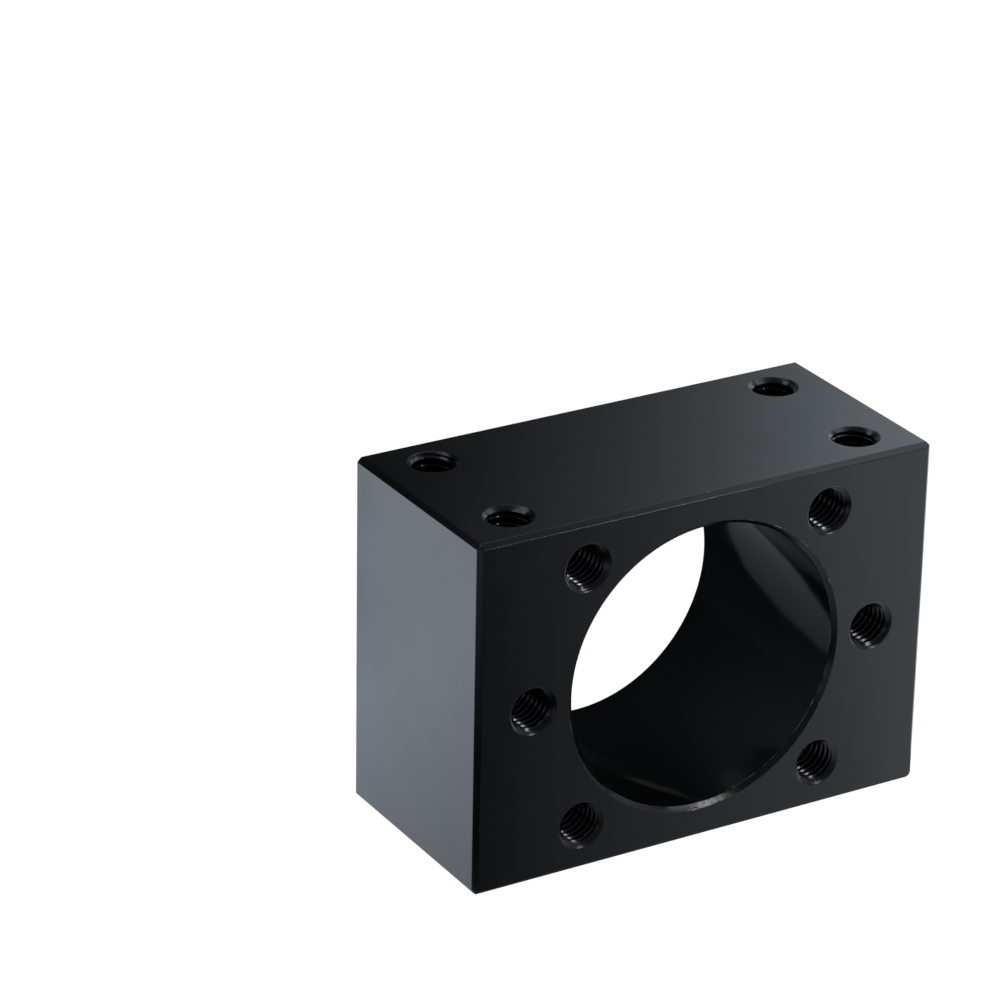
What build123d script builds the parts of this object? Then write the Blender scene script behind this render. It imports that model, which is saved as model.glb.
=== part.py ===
from build123d import *
from math import radians, tan
import os

# Ball screw nut housing: one milled aluminium block, bored right through for the body of the nut.
# The nut's flange seats on the flange face and is held by the six screws round the bore.
# A machine's moving table stands on the table face and is held by the four screws there.
# Sizes are in millimetres and degrees. The origin is on the screw axis, midway along the bore.
# X runs across the block, Y along the screw and away from the flange face, Z up to the table face.

# Block
block_width = 86.0
block_length = 40.0
axis_to_table_face = 31.0
axis_to_foot_face = 31.0
edge_chamfer = 0.8

# Seat for the body of the nut
seat_diameter = 50.0
seat_rim_chamfer = 0.8

# Flange screw holes: three on each side of the bore, the middle one level with the screw axis
flange_circle_diameter = 65.0
flange_hole_step = 45.0
flange_holes_per_side = 3
flange_hole_depth = 20.0

# Table screw holes: one near each corner of the table face
table_hole_spacing_across = 66.0
table_hole_spacing_along = 24.0
table_hole_depth = 20.0

# Tapped M8 hole: drilled for the thread, with a countersunk mouth and the drill's point at the bottom
tap_drill_diameter = 6.8
mouth_diameter = 8.6
mouth_angle = 120.0
drill_point_angle = 118.0

# Faces that the holes are drilled from, each with its outward side up
flange_face = Plane.XZ.offset(block_length / 2)
table_face = Plane.XY.offset(axis_to_table_face)


def drill_for_thread(depth):
    """Drill and countersink one blind hole at each current location, full width down to the depth."""
    drill_radius = tap_drill_diameter / 2
    point_length = drill_radius / tan(radians(drill_point_angle / 2))
    CounterSinkHole(
        radius=drill_radius,
        counter_sink_radius=mouth_diameter / 2,
        depth=depth,
        counter_sink_angle=mouth_angle,
    )
    with Locations((0, 0, -depth)):
        Cone(
            bottom_radius=0,
            top_radius=drill_radius,
            height=point_length,
            align=(Align.CENTER, Align.CENTER, Align.MAX),
            mode=Mode.SUBTRACT,
        )


with BuildPart() as housing:
    # Block, its section drawn across the screw from the foot face to the table face
    with BuildSketch(Plane.XZ):
        with Locations((0, axis_to_table_face)):
            Rectangle(
                block_width,
                axis_to_table_face + axis_to_foot_face,
                align=(Align.CENTER, Align.MAX),
            )
    extrude(amount=block_length / 2, both=True)
    chamfer(housing.edges(), length=edge_chamfer)

    # Seat bore and the chamfer round each of its two rims
    with Locations(flange_face):
        Hole(radius=seat_diameter / 2)
    chamfer(housing.edges().filter_by(GeomType.CIRCLE), length=seat_rim_chamfer)

    # Flange screw holes, fanned about the level line on each side of the bore
    with Locations(flange_face):
        for side_angle in (0, 180):
            with PolarLocations(
                radius=flange_circle_diameter / 2,
                count=flange_holes_per_side,
                start_angle=side_angle - flange_hole_step,
                angular_range=2 * flange_hole_step,
                endpoint=True,
            ):
                drill_for_thread(flange_hole_depth)

    # Table screw holes
    with Locations(table_face):
        with GridLocations(table_hole_spacing_across, table_hole_spacing_along, 2, 2):
            drill_for_thread(table_hole_depth)

housing.part.label = "housing"
os.makedirs("parts", exist_ok=True)
export_step(housing.part, "parts/housing.step")
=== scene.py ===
import math

import bmesh
import bpy
from mathutils import Matrix, Quaternion, Vector


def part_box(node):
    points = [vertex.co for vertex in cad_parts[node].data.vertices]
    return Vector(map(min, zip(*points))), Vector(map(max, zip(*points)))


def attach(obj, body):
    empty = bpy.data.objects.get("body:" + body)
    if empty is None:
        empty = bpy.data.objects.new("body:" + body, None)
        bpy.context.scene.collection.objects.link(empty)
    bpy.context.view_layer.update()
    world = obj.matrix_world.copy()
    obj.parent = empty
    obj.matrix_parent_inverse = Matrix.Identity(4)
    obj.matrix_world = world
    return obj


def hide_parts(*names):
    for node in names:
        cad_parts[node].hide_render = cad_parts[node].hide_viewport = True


# Ball screw nut housing: a milled aluminium block in black anodising, bored through for the
# nut, with six tapped holes for the nut's flange and four for the machine's table.
# X runs across the block, Y along the screw and away from the flange face, Z up.

bl_info = {
    "name": "Ball Screw Nut Housing",
    "version": (1, 0, 0),
    "blender": (4, 5, 0),
    "location": "3D View > Sidebar > Nut Housing",
    "description": "Builds an anodised nut housing with tapped holes, and a studio to show it in",
    "category": "Add Mesh",
}

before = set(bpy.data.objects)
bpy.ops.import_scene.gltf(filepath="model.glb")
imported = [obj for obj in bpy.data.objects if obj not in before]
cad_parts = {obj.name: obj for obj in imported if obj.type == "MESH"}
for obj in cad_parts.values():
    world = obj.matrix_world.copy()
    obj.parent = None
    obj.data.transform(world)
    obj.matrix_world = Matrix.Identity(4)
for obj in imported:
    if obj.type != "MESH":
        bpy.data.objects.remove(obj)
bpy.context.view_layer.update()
block_low, block_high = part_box("housing")
block_size = block_high - block_low
block_centre = (block_high + block_low) / 2

MM = 0.001
PIECE = "housing_milled"

# Points closer than this are one, in metres
WELD = 1e-7
BORE_SEGMENTS = 192
HOLE_SEGMENTS = 64
# Faces that meet at more than this angle have a sharp line between them
SHARP_ANGLE = math.radians(28)
# A housing with fewer or more triangles has a cut that went wrong
TRIANGLES = (20_000, 200_000)

# Angle of a metric thread's flanks to the plane across its axis
THREAD_FLANK = math.radians(30)
# Turns that the tap's lead leaves shallow
LEAD_TURNS = 3
# Depth at which the thread begins, inside the countersink
THREAD_START = 0.15 * MM
# How far the parts of a hole reach into each other
OVERLAP = 0.03 * MM
# Each hole's thread starts this much further round than the one before, in radians
START_TURN = 2.4

# Brightness of paper white, and of the room that only reflections show
WHITE = 1.02
ROOM = 0.08
# Height of the floor's panels over the floor, and width of the sensor, in millimetres
FLOOR_GAP = 0.2
SENSOR_WIDTH = 36


# Sizes and colours that a user can change


class HousingSizes(bpy.types.PropertyGroup):
    """Sizes of the block, its bore and its tapped holes"""

    edge_chamfer: bpy.props.FloatProperty(
        name="Edge chamfer", description="Width of the chamfer, along each face",
        default=0.8 * MM, min=0, unit="LENGTH", precision=5,
    )
    edge_break: bpy.props.FloatProperty(
        name="Edge break", description="Small round left by deburring where two faces meet",
        default=0.1 * MM, min=0, unit="LENGTH", precision=5,
    )
    seat_diameter: bpy.props.FloatProperty(
        name="Seat diameter", description="Bore that takes the body of the nut",
        default=50.0 * MM, min=0, unit="LENGTH", precision=5,
    )
    seat_rim_chamfer: bpy.props.FloatProperty(
        name="Seat rim chamfer", description="Chamfer round each end of the bore",
        default=0.8 * MM, min=0, unit="LENGTH", precision=5,
    )
    flange_circle_diameter: bpy.props.FloatProperty(
        name="Flange circle", description="Diameter of the circle that the flange screws stand on",
        default=65.0 * MM, min=0, unit="LENGTH", precision=5,
    )
    flange_hole_step: bpy.props.FloatProperty(
        name="Flange hole step", description="Angle from the level hole to its neighbours",
        default=math.radians(45), subtype="ANGLE", unit="ROTATION",
    )
    table_spacing_across: bpy.props.FloatProperty(
        name="Table holes across", description="Spacing of the table screws across the block",
        default=66.0 * MM, min=0, unit="LENGTH", precision=5,
    )
    table_spacing_along: bpy.props.FloatProperty(
        name="Table holes along", description="Spacing of the table screws along the screw axis",
        default=24.0 * MM, min=0, unit="LENGTH", precision=5,
    )
    hole_depth: bpy.props.FloatProperty(
        name="Hole depth", description="Depth of each tapped hole, down to the drill's point",
        default=20.0 * MM, min=0, unit="LENGTH", precision=5,
    )
    drill_diameter: bpy.props.FloatProperty(
        name="Tap drill", description="Diameter of the drilled hole",
        default=6.8 * MM, min=0, unit="LENGTH", precision=5,
    )
    drill_point: bpy.props.FloatProperty(
        name="Drill point", description="Angle of the drill's point",
        default=math.radians(118), subtype="ANGLE", unit="ROTATION",
    )
    mouth_diameter: bpy.props.FloatProperty(
        name="Mouth diameter", description="Countersunk mouth of each tapped hole",
        default=8.6 * MM, min=0, unit="LENGTH", precision=5,
    )
    mouth_angle: bpy.props.FloatProperty(
        name="Mouth angle", description="Included angle of the countersink at the mouth",
        default=math.radians(120), subtype="ANGLE", unit="ROTATION",
    )
    lead_angle: bpy.props.FloatProperty(
        name="Lead-in angle",
        description="Included angle of the taper that shortens the first turn",
        default=math.radians(90), subtype="ANGLE", unit="ROTATION",
    )
    thread_diameter: bpy.props.FloatProperty(
        name="Thread diameter", description="Nominal diameter of the thread",
        default=8.0 * MM, min=0, unit="LENGTH", precision=5,
    )
    thread_pitch: bpy.props.FloatProperty(
        name="Thread pitch", description="Rise of the thread in one turn",
        default=1.25 * MM, min=0.1 * MM, unit="LENGTH", precision=5,
    )
    thread_depth: bpy.props.FloatProperty(
        name="Thread depth", description="Depth of the thread, its run-out included",
        default=17.0 * MM, min=0, unit="LENGTH", precision=5,
    )


class HousingFinish(bpy.types.PropertyGroup):
    """Colours and surface of the anodised aluminium"""

    anodised_colour: bpy.props.FloatVectorProperty(
        name="Anodised colour", description="Colour of the dyed surface",
        default=(0.0098, 0.0114, 0.0116), size=3, min=0, max=1, subtype="COLOR",
    )
    bare_colour: bpy.props.FloatVectorProperty(
        name="Bare colour", description="Colour of the metal where the surface is worn",
        default=(0.66, 0.62, 0.58), size=3, min=0, max=1, subtype="COLOR",
    )
    roughness: bpy.props.FloatProperty(
        name="Roughness", description="Roughness of the milled faces",
        default=0.24, min=0, max=1, subtype="FACTOR",
    )
    bore_roughness: bpy.props.FloatProperty(
        name="Bore roughness", description="Roughness of the turned bore",
        default=0.11, min=0, max=1, subtype="FACTOR",
    )
    thread_roughness: bpy.props.FloatProperty(
        name="Thread roughness", description="Roughness of the cut threads",
        default=0.15, min=0, max=1, subtype="FACTOR",
    )
    edge_wear: bpy.props.FloatProperty(
        name="Edge wear",
        description="How much of the edges round the block and the bore is worn to the metal",
        default=0.35, min=0, max=1, subtype="FACTOR",
    )
    rim_scuff: bpy.props.FloatProperty(
        name="Rim scuff",
        description="Strength of the scuff where nuts were pushed in over the rim",
        default=0.85, min=0, max=1, subtype="FACTOR",
    )
    scuff_angle: bpy.props.FloatProperty(
        name="Scuff angle", description="Where the scuff is on the rim, up from the level",
        default=math.radians(-85), subtype="ANGLE", unit="ROTATION",
    )
    turning_marks: bpy.props.FloatProperty(
        name="Turning marks", description="Depth of the tool marks in the bore",
        default=0.35, min=0, max=1, subtype="FACTOR",
    )


class StageLook(bpy.types.PropertyGroup):
    """Camera, floor and lights"""

    camera_position: bpy.props.FloatVectorProperty(
        name="Camera position", description="Where the camera stands",
        default=(-0.3656887, -0.5640546, 0.3242234), size=3, subtype="TRANSLATION",
        unit="LENGTH", precision=5,
    )
    camera_aim: bpy.props.FloatVectorProperty(
        name="Camera aim", description="Point in the middle of the picture",
        default=(-0.0160717, 0.0189905, 0.0177967), size=3, subtype="TRANSLATION",
        unit="LENGTH", precision=5,
    )
    camera_roll: bpy.props.FloatProperty(
        name="Camera roll", description="Turn of the camera about its line of sight",
        default=math.radians(1.0547), subtype="ANGLE", unit="ROTATION",
    )
    camera_lens: bpy.props.FloatProperty(
        name="Focal length", description="Focal length in millimetres on a 36 mm sensor",
        default=162.155, min=1,
    )
    floor_colour: bpy.props.FloatVectorProperty(
        name="Floor colour", description="Colour of the floor",
        default=(1.0, 1.0, 1.0), size=3, min=0, max=1, subtype="COLOR",
    )
    light_colour: bpy.props.FloatVectorProperty(
        name="Light colour", description="Colour of the reflector panels",
        default=(0.885, 1.0, 1.105), size=3, min=0, subtype="COLOR",
    )
    light_level: bpy.props.FloatProperty(
        name="Light level", description="Strength of the studio's reflector panels",
        default=1.0, min=0,
    )


# Mesh helpers


def revolve(outline, segments):
    """Closed solid of revolution about Z, from an outline of radius and height pairs"""
    solid = bmesh.new()
    points = [solid.verts.new((radius, 0, height)) for radius, height in outline]
    lines = [solid.edges.new(pair) for pair in zip(points, points[1:])]
    bmesh.ops.spin(
        solid, geom=points + lines, cent=(0, 0, 0), axis=(0, 0, 1), dvec=(0, 0, 0),
        angle=math.tau, steps=segments, use_merge=True, use_duplicate=False,
    )
    bmesh.ops.remove_doubles(solid, verts=solid.verts, dist=WELD)
    bmesh.ops.recalc_face_normals(solid, faces=solid.faces)
    return solid


def screw_rod(outline, pitch, turns, segments):
    """Rod whose surface is the outline of one thread swept along a right-hand helix about Z"""
    rod = bmesh.new()
    points = [rod.verts.new((radius, 0, height)) for radius, height in outline]
    lines = [rod.edges.new(pair) for pair in zip(points, points[1:])]
    bmesh.ops.spin(
        rod, geom=points + lines, cent=(0, 0, 0), axis=(0, 0, 1),
        dvec=(0, 0, pitch / segments), angle=math.tau * turns, steps=segments * turns,
        use_merge=False, use_duplicate=False,
    )
    bmesh.ops.remove_doubles(rod, verts=rod.verts, dist=WELD)
    return rod


def cut_flat(solid, height, above):
    """Cuts the solid square across Z, drops what is above or below, and closes the cut"""
    bmesh.ops.bisect_plane(
        solid, geom=solid.verts[:] + solid.edges[:] + solid.faces[:], dist=WELD,
        plane_co=(0, 0, height), plane_no=(0, 0, 1), clear_outer=above, clear_inner=not above,
    )
    rim = [
        edge for edge in solid.edges
        if edge.is_boundary and all(abs(vert.co.z - height) < WELD * 10 for vert in edge.verts)
    ]
    bmesh.ops.holes_fill(solid, edges=rim, sides=0)


def to_object(solid, name, smooth=True):
    """Turns a bmesh into a linked object"""
    for face in solid.faces:
        face.smooth = smooth
    mesh = bpy.data.meshes.new(name)
    solid.to_mesh(mesh)
    solid.free()
    thing = bpy.data.objects.new(name, mesh)
    bpy.context.scene.collection.objects.link(thing)
    return thing


def combine(base, tool, operation):
    """Joins or cuts base with tool as solids, and removes the tool"""
    step = base.modifiers.new("solid", "BOOLEAN")
    step.operation = operation
    step.solver = "EXACT"
    step.object = tool
    bpy.context.view_layer.update()
    shaped = base.evaluated_get(bpy.context.evaluated_depsgraph_get())
    mesh = bpy.data.meshes.new_from_object(shaped)
    base.modifiers.clear()
    old = base.data
    base.data = mesh
    bpy.data.meshes.remove(old)
    bpy.data.objects.remove(tool)


def even_shading(thing):
    """Smooth shading that leaves flat faces flat, with sharp lines where the surface turns hard"""
    for face in thing.data.polygons:
        face.use_smooth = True
    thing.data.set_sharp_from_angle(angle=SHARP_ANGLE)
    step = thing.modifiers.new("normals", "WEIGHTED_NORMAL")
    step.mode = "FACE_AREA"
    step.keep_sharp = True


# The housing


def bevel(solid, width, segments):
    """Bevels all edges, to the width along each face"""
    bmesh.ops.bevel(
        solid, geom=solid.edges[:], offset=width, offset_type="OFFSET", segments=segments,
        profile=0.5, affect="EDGES", material=-1, clamp_overlap=False,
    )


def chamfered_block(sizes):
    """Block with chamfered edges, each line of a chamfer broken by a small round"""
    block = bmesh.new()
    bmesh.ops.create_cube(block, size=1)
    bmesh.ops.scale(block, vec=block_size, verts=block.verts)
    bmesh.ops.translate(block, vec=block_centre, verts=block.verts)
    bevel(block, sizes.edge_chamfer, 1)
    bevel(block, sizes.edge_break, 2)
    bmesh.ops.recalc_face_normals(block, faces=block.faces)
    return to_object(block, PIECE)


def seat_cutter(sizes):
    """Solid that cuts the bore and the chamfered rims at both faces"""
    radius, rim = sizes.seat_diameter / 2, sizes.seat_rim_chamfer
    half, clear, soft = block_size.y / 2, 2 * MM, sizes.edge_break / 2
    end = [
        (0, half + clear), (radius + rim + clear, half + clear),
        (radius + rim + soft, half + soft * 0.4), (radius + rim - soft, half - soft),
        (radius + soft, half - rim + soft), (radius, half - rim - soft),
    ]
    outline = end + [(across, -along) for across, along in reversed(end)]
    cutter = revolve(outline, BORE_SEGMENTS)
    bmesh.ops.rotate(cutter, verts=cutter.verts, matrix=Matrix.Rotation(math.pi / 2, 3, "X"))
    return cutter


def thread_cutter(sizes):
    """Solid that cuts the thread of one hole, down from just under the face"""
    drill, crest = sizes.drill_diameter / 2, sizes.thread_diameter / 2
    pitch, bottom, soft = sizes.thread_pitch, sizes.thread_depth, sizes.edge_break / 2
    # Heights along the axis: the flat in the bottom of the groove, one flank, and the ridge
    flat, flank = pitch / 8, (crest - drill) * math.tan(THREAD_FLANK)
    ridge = pitch - flat - 2 * flank
    # Small chamfers take the corners off the ridge
    out, along = soft * math.cos(THREAD_FLANK), soft * math.sin(THREAD_FLANK)
    turns = math.ceil(bottom / pitch) + 2
    thread = screw_rod([
        (drill + out, -along), (drill, soft), (drill, ridge - soft), (drill + out, ridge + along),
        (crest, pitch - flat - flank), (crest, pitch - flank), (drill + out, pitch - along),
    ], pitch, turns, HOLE_SEGMENTS)
    bmesh.ops.translate(thread, verts=thread.verts, vec=(0, 0, -pitch * (turns - 0.5)))
    cut_flat(thread, -THREAD_START, True)
    cut_flat(thread, -bottom, False)
    bmesh.ops.recalc_face_normals(thread, faces=thread.faces)
    # The tap's lead leaves the last turns shallow
    for vert in thread.verts:
        share = (bottom + vert.co.z) / (LEAD_TURNS * pitch)
        limit = drill + OVERLAP + (crest - drill) * max(share, 0)
        if vert.co.xy.length > limit:
            vert.co.xy = vert.co.xy.normalized() * limit
    return thread


def tapped_hole(sizes):
    """Solid that cuts one tapped hole, with its mouth at the origin and its depth along -Z"""
    drill, crest = sizes.drill_diameter / 2, sizes.thread_diameter / 2
    mouth, soft = sizes.mouth_diameter / 2, sizes.edge_break / 2
    depth, bottom, clear = sizes.hole_depth, sizes.thread_depth, 1 * MM
    tip = revolve([
        (0, -depth - drill / math.tan(sizes.drill_point / 2)), (drill - OVERLAP, -depth),
        (drill - OVERLAP, -bottom + clear), (0, -bottom + clear),
    ], HOLE_SEGMENTS)
    # Inside the countersink a steeper taper shortens the first turn of the thread
    slope, below = math.tan(sizes.mouth_angle / 2), drill - 0.1 * MM
    deep = (mouth - crest) / slope
    lowest = deep + (crest - below) / math.tan(sizes.lead_angle / 2)
    mouth_cone = revolve([
        (0, -lowest), (below, -lowest), (crest, -deep), (mouth - soft, -soft / slope),
        (mouth + soft, soft * 0.2), (mouth + clear, clear), (0, clear),
    ], HOLE_SEGMENTS)
    # Turned by half a segment, so that no edge of theirs runs along one of the thread's
    turn = Matrix.Rotation(math.pi / HOLE_SEGMENTS, 3, "Z")
    hole = to_object(thread_cutter(sizes), "tap")
    for solid, name in ((tip, "drill"), (mouth_cone, "countersink")):
        bmesh.ops.rotate(solid, verts=solid.verts, matrix=turn)
        combine(hole, to_object(solid, name), "UNION")
    return hole


def hole_places(sizes):
    """Transform of each tapped hole: its mouth on the face and its own Z out of the face"""
    outward = Matrix.Rotation(math.pi / 2, 4, "X")
    radius = sizes.flange_circle_diameter / 2
    for side in (0, math.pi):
        for step in (-1, 0, 1):
            angle = side + step * sizes.flange_hole_step
            mouth = (radius * math.cos(angle), block_low.y, radius * math.sin(angle))
            yield Matrix.Translation(mouth) @ outward
    for across in (-1, 1):
        for along in (-1, 1):
            yield Matrix.Translation((
                across * sizes.table_spacing_across / 2,
                along * sizes.table_spacing_along / 2, block_high.z,
            ))


class NUTHOUSING_OT_housing(bpy.types.Operator):
    """Mill the housing: chamfered block, bore for the nut and ten tapped holes"""

    bl_idname = "nuthousing.housing"
    bl_label = "Mill Housing"
    bl_options = {"REGISTER", "UNDO"}

    def execute(self, context):
        sizes = context.scene.nut_housing_sizes
        housing = chamfered_block(sizes)
        pattern = tapped_hole(sizes)
        cutter = seat_cutter(sizes)
        for number, place in enumerate(hole_places(sizes)):
            hole = pattern.data.copy()
            hole.transform(place @ Matrix.Rotation(number * START_TURN, 4, "Z"))
            cutter.from_mesh(hole)
            bpy.data.meshes.remove(hole)
        bpy.data.objects.remove(pattern)
        combine(housing, to_object(cutter, "cutter"), "DIFFERENCE")
        even_shading(housing)
        triangles = sum(len(face.vertices) - 2 for face in housing.data.polygons)
        if not TRIANGLES[0] < triangles < TRIANGLES[1]:
            raise RuntimeError(f"the housing has {triangles} triangles, so its cuts went wrong")
        housing.data.materials.clear()
        housing.data.materials.append(anodised_aluminium(context.scene))
        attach(housing, "root")
        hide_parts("housing")
        return {"FINISHED"}


# Material helpers


def empty_material(name):
    """New material without nodes, and its node tree"""
    material = bpy.data.materials.new(name)
    material.use_nodes = True
    material.node_tree.nodes.clear()
    return material, material.node_tree


def add_node(tree, kind, inputs=None, **settings):
    """New node with its settings, and its inputs linked or given a value"""
    node = tree.nodes.new(kind)
    for name, value in settings.items():
        setattr(node, name, value)
    for name, value in (inputs or {}).items():
        if isinstance(value, bpy.types.NodeSocket):
            tree.links.new(value, node.inputs[name])
        else:
            node.inputs[name].default_value = value
    return node


def calc(tree, operation, *values):
    """Output of a Math node"""
    return add_node(
        tree, "ShaderNodeMath", dict(enumerate(values)), operation=operation,
    ).outputs[0]


def ramp(tree, value, low, high, to_low=0.0, to_high=1.0, smooth=True):
    """Value mapped from one range to another, and held at its ends"""
    return add_node(
        tree, "ShaderNodeMapRange",
        {"Value": value, "From Min": low, "From Max": high, "To Min": to_low, "To Max": to_high},
        interpolation_type="SMOOTHSTEP" if smooth else "LINEAR",
    ).outputs["Result"]


def blend(tree, mask, without, within):
    """One value where the mask is 0 and another where it is 1"""
    return ramp(tree, mask, 0, 1, without, within, smooth=False)


def length(tree, across, up):
    """Length of the hypotenuse"""
    squares = [calc(tree, "MULTIPLY", side, side) for side in (across, up)]
    return calc(tree, "SQRT", calc(tree, "ADD", *squares))


def components(tree, vector):
    """X, Y and Z of a vector"""
    return add_node(tree, "ShaderNodeSeparateXYZ", {0: vector}).outputs


def noise(tree, vector, scale, detail=2.0, rough=0.5):
    """Value of a noise texture"""
    return add_node(
        tree, "ShaderNodeTexNoise",
        {"Vector": vector, "Scale": scale, "Detail": detail, "Roughness": rough},
    ).outputs[0]


def new_group(name, inputs, outputs):
    """Empty shader node group with its sockets: (group, its input node, its output node)"""
    group = bpy.data.node_groups.new(name, "ShaderNodeTree")
    for label, kind, default in inputs:
        socket = group.interface.new_socket(label, in_out="INPUT", socket_type=kind)
        if default is not None:
            socket.default_value = default
    for label in outputs:
        group.interface.new_socket(label, in_out="OUTPUT", socket_type=FLOAT)
    return group, group.nodes.new("NodeGroupInput"), group.nodes.new("NodeGroupOutput")


def use_group(tree, group, inputs):
    """Outputs of a group placed in a tree"""
    return add_node(tree, "ShaderNodeGroup", inputs, node_tree=group).outputs


# Node groups, whose lengths are all in millimetres


FLOAT, VECTOR = "NodeSocketFloat", "NodeSocketVector"


def worn_line_group():
    """Mask of a worn line: bright within Width of a line, and broken into patches"""
    group, given, out = new_group(
        "Worn line",
        [
            ("Distance", FLOAT, 1.0), ("Width", FLOAT, 0.1),
            ("Patches", FLOAT, 0.5), ("Amount", FLOAT, 0.5),
        ],
        ["Mask"],
    )
    near = ramp(group, given.outputs["Distance"], given.outputs["Width"], 0.0)
    threshold = calc(group, "SUBTRACT", 1.0, given.outputs["Amount"])
    patchy = ramp(group, calc(group, "SUBTRACT", given.outputs["Patches"], threshold), -0.05, 0.12)
    group.links.new(calc(group, "MULTIPLY", near, patchy), out.inputs["Mask"])
    return group


def block_edge_group():
    """Depth under the nearest face, and distance from the lines of the chamfers"""
    group, given, out = new_group(
        "Block edge",
        [("Position", VECTOR, None), ("Half size", VECTOR, None), ("Chamfer", FLOAT, 1.0)],
        ["Depth", "Distance"],
    )
    folded = add_node(
        group, "ShaderNodeVectorMath", {0: given.outputs["Position"]}, operation="ABSOLUTE",
    )
    depth = add_node(
        group, "ShaderNodeVectorMath", {0: given.outputs["Half size"], 1: folded.outputs[0]},
        operation="SUBTRACT",
    )
    x, y, z = components(group, depth.outputs[0])
    least = calc(group, "MINIMUM", calc(group, "MINIMUM", x, y), z)
    most = calc(group, "MAXIMUM", calc(group, "MAXIMUM", x, y), z)
    total = calc(group, "ADD", calc(group, "ADD", x, y), z)
    middle = calc(group, "SUBTRACT", calc(group, "SUBTRACT", total, least), most)
    off = calc(group, "SUBTRACT", middle, given.outputs["Chamfer"])
    group.links.new(least, out.inputs["Depth"])
    group.links.new(length(group, off, least), out.inputs["Distance"])
    return group


def bore_group():
    """Angle up from the level, distance from the two lines of a rim, and masks of rim and bore"""
    group, given, out = new_group(
        "Bore place",
        [
            ("Position", VECTOR, None), ("Radius", FLOAT, 25.0),
            ("Rim", FLOAT, 0.8), ("Half length", FLOAT, 20.0),
        ],
        ["Angle", "Inner line", "Outer line", "On rim", "In bore"],
    )
    x, y, z = components(group, given.outputs["Position"])
    rim = given.outputs["Rim"]
    over = calc(group, "SUBTRACT", length(group, x, z), given.outputs["Radius"])
    under = calc(group, "SUBTRACT", given.outputs["Half length"], calc(group, "ABSOLUTE", y))
    group.links.new(calc(group, "ARCTAN2", z, x), out.inputs["Angle"])
    for line, radial, axial in (
        ("Inner line", over, calc(group, "SUBTRACT", under, rim)),
        ("Outer line", calc(group, "SUBTRACT", over, rim), under),
    ):
        group.links.new(length(group, radial, axial), out.inputs[line])
    # The masks fade out over a few hundredths of a millimetre
    spare = calc(group, "SUBTRACT", rim, 0.05)
    on_rim = calc(group, "MULTIPLY", ramp(group, over, 0.02, 0.08), ramp(group, under, rim, spare))
    on_rim = calc(group, "MULTIPLY", on_rim, ramp(group, over, rim, spare))
    group.links.new(on_rim, out.inputs["On rim"])
    group.links.new(ramp(group, over, 0.1, 0.02), out.inputs["In bore"])
    return group


def scuff_group():
    """Mask of a scuffed arc round the rim, drawn out in streaks along it"""
    group, given, out = new_group(
        "Rim scuff",
        [
            ("Angle", FLOAT, 0.0), ("Centre", FLOAT, 0.0),
            ("Spread", FLOAT, 0.3), ("Streaks", FLOAT, 0.5),
        ],
        ["Mask"],
    )
    off = calc(group, "SUBTRACT", given.outputs["Angle"], given.outputs["Centre"])
    near = ramp(group, calc(group, "ABSOLUTE", off), given.outputs["Spread"], 0.0)
    # More of the streaks show towards the middle of the arc
    level = calc(group, "ADD", given.outputs["Streaks"], calc(group, "MULTIPLY", near, 0.12))
    streaks = ramp(group, level, 0.42, 0.62)
    group.links.new(calc(group, "MULTIPLY", near, streaks), out.inputs["Mask"])
    return group


def wear_mask(tree, position, edge, bore, finish):
    """Mask of the bare metal: lines of the block's chamfers and the bore's rims, and the scuff"""
    worn = worn_line_group()
    patches = noise(tree, position, 0.35, 4.0, 0.6)
    # Each line with its width, and its share of the edge wear
    lines = [
        use_group(tree, worn, {
            "Distance": distance, "Width": width, "Patches": patches,
            "Amount": finish.edge_wear * share,
        })["Mask"]
        for distance, width, share in (
            (edge["Distance"], 0.1, 0.9),
            (bore["Inner line"], 0.12, 1.35),
            (bore["Outer line"], 0.1, 1.2),
        )
    ]
    streaked = add_node(tree, "ShaderNodeCombineXYZ", {
        0: calc(tree, "MULTIPLY", bore["Angle"], 24.0),
        1: calc(tree, "MULTIPLY", components(tree, position)["Y"], 7.0),
    }).outputs[0]
    scuff = use_group(tree, scuff_group(), {
        "Angle": bore["Angle"], "Centre": finish.scuff_angle, "Spread": math.radians(16),
        "Streaks": noise(tree, streaked, 1.0, 4.0, 0.7),
    })["Mask"]
    scuff = calc(tree, "MULTIPLY", calc(tree, "MULTIPLY", bore["On rim"], scuff), finish.rim_scuff)
    wear = scuff
    for line in lines:
        wear = calc(tree, "MAXIMUM", wear, line)
    return wear


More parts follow.
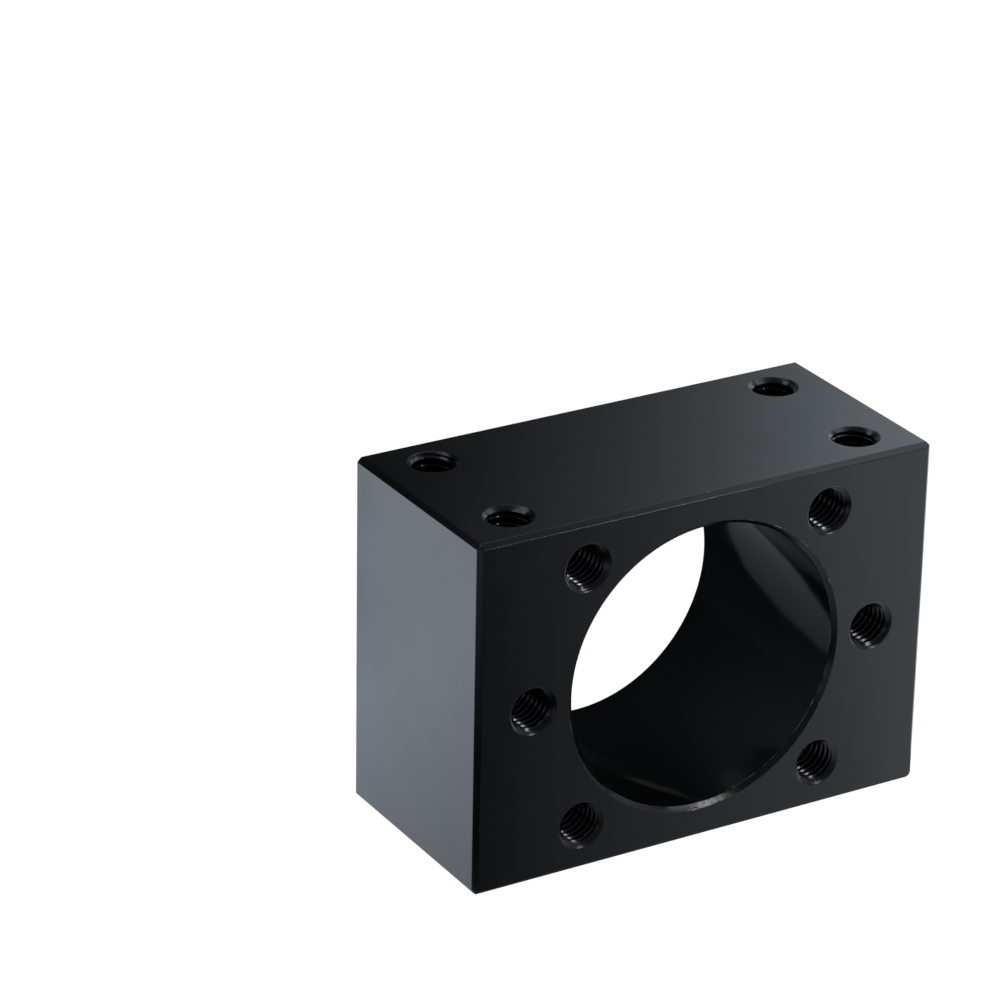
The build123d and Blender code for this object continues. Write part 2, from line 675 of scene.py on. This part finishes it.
def anodised_aluminium(scene):
    """Black anodised aluminium, milled, with worn edges and turning marks in the bore"""
    sizes, finish = scene.nut_housing_sizes, scene.nut_housing_finish
    material, tree = empty_material("Anodised aluminium")
    place = add_node(tree, "ShaderNodeTexCoord").outputs["Object"]
    position = add_node(
        tree, "ShaderNodeVectorMath", {0: place, "Scale": 1 / MM}, operation="SCALE",
    ).outputs[0]
    bore = use_group(tree, bore_group(), {
        "Position": position, "Radius": sizes.seat_diameter / 2 / MM,
        "Rim": sizes.seat_rim_chamfer / MM, "Half length": block_size.y / 2 / MM,
    })
    edge = use_group(tree, block_edge_group(), {
        "Position": position, "Half size": tuple(block_size / 2 / MM),
        "Chamfer": sizes.edge_chamfer / MM,
    })
    wear = wear_mask(tree, position, edge, bore, finish)

    # A Mix node has its colours in sockets 6 and 7 and their blend in output 2
    colour = add_node(tree, "ShaderNodeMix", {
        0: wear, 6: (*finish.anodised_colour, 1), 7: (*finish.bare_colour, 1),
    }, data_type="RGBA").outputs[2]

    # Faces, bore and threads differ in roughness, each a little uneven and rougher where worn
    grain = noise(tree, position, 9.0, 3.0, 0.6)
    cut = blend(tree, bore["In bore"], finish.thread_roughness, finish.bore_roughness)
    rough = blend(tree, ramp(tree, edge["Depth"], 0.3, 0.6), finish.roughness, cut)
    for unevenness in (
        ramp(tree, noise(tree, position, 0.045), 0.3, 0.7, -0.02, 0.02),
        ramp(tree, grain, 0.3, 0.7, -0.015, 0.015),
        calc(tree, "MULTIPLY", wear, 0.22),
    ):
        rough = calc(tree, "ADD", rough, unevenness)

    # Height: fine grain, turning marks in the bore, and waves in faces that aren't quite flat
    turned = add_node(
        tree, "ShaderNodeTexNoise",
        {"W": components(tree, position)["Y"], "Scale": 6.0, "Detail": 3.0, "Roughness": 0.7},
        noise_dimensions="1D",
    ).outputs[0]
    marks = calc(tree, "MULTIPLY", turned, bore["In bore"])
    marks = calc(tree, "MULTIPLY", marks, finish.turning_marks)
    waves = calc(tree, "MULTIPLY", noise(tree, position, 0.12, 1.0), 45.0)
    height = calc(tree, "ADD", calc(tree, "MULTIPLY", grain, 0.25), marks)
    height = calc(tree, "ADD", height, waves)
    bump = add_node(
        tree, "ShaderNodeBump", {"Height": height, "Strength": 0.12, "Distance": 0.01 * MM},
    )

    surface = add_node(tree, "ShaderNodeBsdfPrincipled", {
        "Base Color": colour, "Roughness": rough, "Metallic": wear,
        "Normal": bump.outputs[0], "IOR": 1.55,
    })
    add_node(tree, "ShaderNodeOutputMaterial", {"Surface": surface.outputs[0]})
    return material


# The stage


def glow_material(name, along, stops, look):
    """Panel surface whose glow changes along a direction, from stops of distance and brightness"""
    material, tree = empty_material(name)
    place = add_node(tree, "ShaderNodeNewGeometry").outputs["Position"]
    reach = add_node(
        tree, "ShaderNodeVectorMath", {0: place, 1: along}, operation="DOT_PRODUCT",
    ).outputs["Value"]
    first, last = stops[0][0], stops[-1][0]
    share = ramp(tree, reach, first * MM, last * MM, smooth=False)
    peak = max(level for _, level in stops)
    colours = add_node(tree, "ShaderNodeValToRGB", {0: share})
    elements = colours.color_ramp.elements
    # A new ramp has two stops, and the first is used again
    elements.remove(elements[1])
    for number, (distance, level) in enumerate(stops):
        at = (distance - first) / (last - first)
        stop = elements[0] if number == 0 else elements.new(at)
        stop.position = at
        stop.color = (*[level / peak * part for part in look.light_colour], 1)
    glow = add_node(
        tree, "ShaderNodeEmission",
        {"Color": colours.outputs[0], "Strength": peak * look.light_level},
    )
    add_node(tree, "ShaderNodeOutputMaterial", {"Surface": glow.outputs[0]})
    return material


def even(level):
    """Stops of a panel that is equally bright all over"""
    return [(0, level), (1, level)]


def as_panel(thing, along, stops, look):
    """Makes a surface a reflector that only shows in reflections"""
    thing.data.materials.append(glow_material(thing.name, along, stops, look))
    thing.visible_camera = False
    thing.visible_diffuse = False
    thing.visible_shadow = False


def panel(name, centre, directions, size, along, stops, look):
    """Flat reflector panel in millimetres, with directions to its right and up"""
    shape = bmesh.new()
    bmesh.ops.create_grid(shape, x_segments=1, y_segments=1, size=0.5)
    thing = to_object(shape, name, smooth=False)
    right, up = (Vector(direction).normalized() for direction in directions)
    turn = Matrix((right, up, right.cross(up))).transposed().to_4x4()
    scale = Matrix.Diagonal((size[0] * MM, size[1] * MM, 1, 1))
    thing.matrix_world = Matrix.Translation(Vector(centre) * MM) @ turn @ scale
    as_panel(thing, along, stops, look)


def collar(name, gap, hole, along, stops, look):
    """Card as large as the block, with a round hole for what the bore reflects, close behind it,
    whose glow paints a sheen on the block's back face
    """
    card = bmesh.new()
    bmesh.ops.create_circle(card, segments=96, radius=hole * MM)
    outer = bmesh.ops.extrude_edge_only(card, edges=card.edges[:])["geom"]
    half_x, half_z = block_size.x / 2, block_size.z / 2
    for vert in (part for part in outer if isinstance(part, bmesh.types.BMVert)):
        x, z = (max(abs(side), WELD) for side in vert.co.xy)
        vert.co.xy *= min(half_x / x, half_z / z)
    bmesh.ops.rotate(card, verts=card.verts, matrix=Matrix.Rotation(math.pi / 2, 3, "X"))
    bmesh.ops.translate(card, verts=card.verts, vec=(0, block_high.y + gap * MM, 0))
    as_panel(to_object(card, name, smooth=False), along, stops, look)


def add_floor(look):
    """Pale floor, lit evenly, that reads as paper white"""
    ground = bmesh.new()
    bmesh.ops.create_grid(ground, x_segments=1, y_segments=1, size=4)
    bmesh.ops.translate(ground, verts=ground.verts, vec=(0, 0, block_low.z))
    floor = to_object(ground, "floor", smooth=False)
    material, tree = empty_material("Floor")
    glow = add_node(
        tree, "ShaderNodeEmission", {"Color": (*look.floor_colour, 1), "Strength": WHITE},
    )
    add_node(tree, "ShaderNodeOutputMaterial", {"Surface": glow.outputs[0]})
    floor.data.materials.append(material)
    floor.visible_glossy = False
    floor.visible_diffuse = False


def add_reflectors(look):
    """Reflector panels that stand for the studio's floor, walls, boards and lamps, with the light
    and shade that fall on them painted into their glow
    """
    base = block_low.z / MM + FLOOR_GAP
    back = block_high.y / MM
    across, along, up = (1, 0, 0), (0, 1, 0), (0, 0, 1)
    flat, facing_y, facing_x = (across, along), (across, up), (along, up)
    # Level, and at right angles to the camera's line of sight as the flange face reflects it
    sideways = (0.857, 0.515, 0)
    lamp_side = (0.86, 0.51, 0)

    # Floor in front: dark in the middle, bright on the right, lighter again far on the left
    panel("front_floor", (0, -420, base), flat, (1600, 800), sideways, [
        (-320, 0.45), (-180, 0.25), (-100, 0.02), (-60, 0.015), (-45, 0.105), (-8, 0.4),
        (16, 0.6), (27, 0.88), (60, 1.2),
    ], look)
    # Floor behind on the left, with a painted shadow that makes it darker close to the block
    panel("left_floor", (-343, 180, base), flat, (600, 400), along, [
        (-20, 0.98), (10, 1.25), (60, 1.67), (110, 1.63),
    ], look)
    # Strip of floor behind in painted shade, up to a dark board, and the backdrop over it
    panel("back_strip", (105, back + 18, base), flat, (290, 36), along, [
        (30, 0.22), (56, 0.17),
    ], look)
    panel("back_board", (-4, back + 36, 5.5), facing_y, (107, 73), (-0.6, 0, 0.8), [
        (-30, 0.012), (-3, 0.02), (15, 0.042), (25, 0.07), (45, 0.12),
    ], look)
    panel("back_wall", (60, back + 38, 75), facing_y, (500, 70), across, [
        (-190, 0.5), (-110, 0.35), (-90, 0.02), (-20, 0.012), (4, 0.06), (32, 0.185),
        (56, 0.37), (84, 0.77), (120, 1.2),
    ], look)
    # Overhead board, for the upper chamfer and the mouths of the table holes
    panel("overhead", (85, -60, 190), flat, (350, 220), across, [
        (40, 0.1), (67, 0.22), (85, 0.38), (100, 0.55), (130, 1.1), (160, 1.35),
    ], look)
    # Dim wall behind the camera
    camera_facing = ((0.84, -0.54, 0), (0.2, 0.35, 0.9))
    panel("camera_wall", (-330, -520, 300), camera_facing, (500, 500), up, even(0.1), look)
    # Lamp for the thread's glints, and another for the line along the upper chamfer
    lamp_facing = (lamp_side, (-0.24, 0.41, 0.88))
    panel("thread_lamp", (288, -486, 304), lamp_facing, (80, 80), lamp_side, [
        (-40, 4.5), (-15, 6.5), (15, 20.0), (40, 23.0),
    ], look)
    panel("edge_lamp", (142, -266, 111), ((0.86, 0.5, 0), up), (40, 40), up, even(8.0), look)
    # Floor and card that only the back and the right of the block reflect
    panel("back_floor", (370, 432, base), flat, (826, 746), along, [
        (60, 0.02), (90, 0.12), (150, 0.8), (240, 1.1),
    ], look)
    # The card glows close behind the back face, so its reflection paints a fixed sheen on that
    # face, brighter towards the bottom
    collar("back_collar", 1.5, 26.5, (-0.5, 0, -0.87), [(-45, 0.35), (0, 0.7), (45, 1.2)], look)
    # Walls far off and a ceiling, for the table face in views from behind and from the left
    panel("front_wall", (200, -900, 330), facing_y, (1800, 540), up, [
        (60, 0.15), (600, 0.12),
    ], look)
    for name, x, y, width in (("right_wall", 900, 100, 1600), ("left_wall", -900, -200, 1400)):
        panel(name, (x, y, 330), facing_x, (width, 540), up, [(60, 0.5), (600, 0.3)], look)
    panel("ceiling", (0, 180, 700), flat, (1200, 900), along, [(-270, 0.9), (600, 1.4)], look)
    # Floor beside the block, for its right end
    panel("right_floor", (372, 2, base), flat, (655, 32), along, even(0.9), look)
    right_back = (460, 210, base + FLOOR_GAP)
    panel("right_back_floor", right_back, flat, (680, 380), along, [
        (-20, 0.9), (400, 1.0),
    ], look)
    # Black card that keeps the thread lamp off the right of the upper chamfer
    panel("black_card", (48, -50, 53), facing_y, (36, 15), up, even(0.02), look)


def add_camera(look):
    """Camera at its place, turned to its aim"""
    data = bpy.data.cameras.new("camera")
    data.lens = look.camera_lens
    data.sensor_width = SENSOR_WIDTH
    data.clip_start, data.clip_end = 0.05, 20
    camera = bpy.data.objects.new("camera", data)
    bpy.context.scene.collection.objects.link(camera)
    sight = Vector(look.camera_aim) - Vector(look.camera_position)
    roll = Quaternion((0, 0, 1), look.camera_roll)
    camera.location = look.camera_position
    camera.rotation_mode = "QUATERNION"
    camera.rotation_quaternion = sight.to_track_quat("-Z", "Y") @ roll
    bpy.context.scene.camera = camera


def studio_world():
    """White backdrop for the camera, and a dim room for everything else"""
    world = bpy.data.worlds.new("Studio")
    world.use_nodes = True
    tree = world.node_tree
    tree.nodes.clear()
    path = add_node(tree, "ShaderNodeLightPath")
    strength = blend(tree, path.outputs["Is Camera Ray"], ROOM, WHITE)
    light = add_node(
        tree, "ShaderNodeBackground", {"Color": (1, 1, 1, 1), "Strength": strength},
    )
    add_node(tree, "ShaderNodeOutputWorld", {"Surface": light.outputs[0]})
    return world


class NUTHOUSING_OT_stage(bpy.types.Operator):
    """Set up the floor, the reflector panels and the camera"""

    bl_idname = "nuthousing.stage"
    bl_label = "Set Up Stage"
    bl_options = {"REGISTER", "UNDO"}

    def execute(self, context):
        look = context.scene.nut_housing_stage
        context.scene.world = studio_world()
        context.scene.view_settings.view_transform = "Standard"
        add_floor(look)
        add_reflectors(look)
        add_camera(look)
        return {"FINISHED"}


class NUTHOUSING_PT_panel(bpy.types.Panel):
    """Lists the housing's settings and steps in the sidebar"""

    bl_idname = "NUTHOUSING_PT_panel"
    bl_label = "Nut Housing"
    bl_space_type = "VIEW_3D"
    bl_region_type = "UI"
    bl_category = "Nut Housing"

    def draw(self, context):
        for label, step, settings in (
            ("Housing", "nuthousing.housing", ("nut_housing_sizes", "nut_housing_finish")),
            ("Stage", "nuthousing.stage", ("nut_housing_stage",)),
        ):
            box = self.layout.box()
            box.label(text=label)
            for owner in settings:
                group = getattr(context.scene, owner)
                for name in group.bl_rna.properties.keys():
                    if name not in ("rna_type", "name"):
                        box.prop(group, name)
            box.operator(step)


settings_groups = {
    "nut_housing_sizes": HousingSizes,
    "nut_housing_finish": HousingFinish,
    "nut_housing_stage": StageLook,
}
classes = (
    *settings_groups.values(), NUTHOUSING_OT_housing, NUTHOUSING_OT_stage, NUTHOUSING_PT_panel,
)


def register():
    for kind in classes:
        bpy.utils.register_class(kind)
    for name, kind in settings_groups.items():
        setattr(bpy.types.Scene, name, bpy.props.PointerProperty(type=kind))


def unregister():
    for name in settings_groups:
        delattr(bpy.types.Scene, name)
    for kind in reversed(classes):
        bpy.utils.unregister_class(kind)


def main():
    register()
    bpy.ops.nuthousing.housing()
    bpy.ops.nuthousing.stage()


if __name__ == "__main__":
    main()
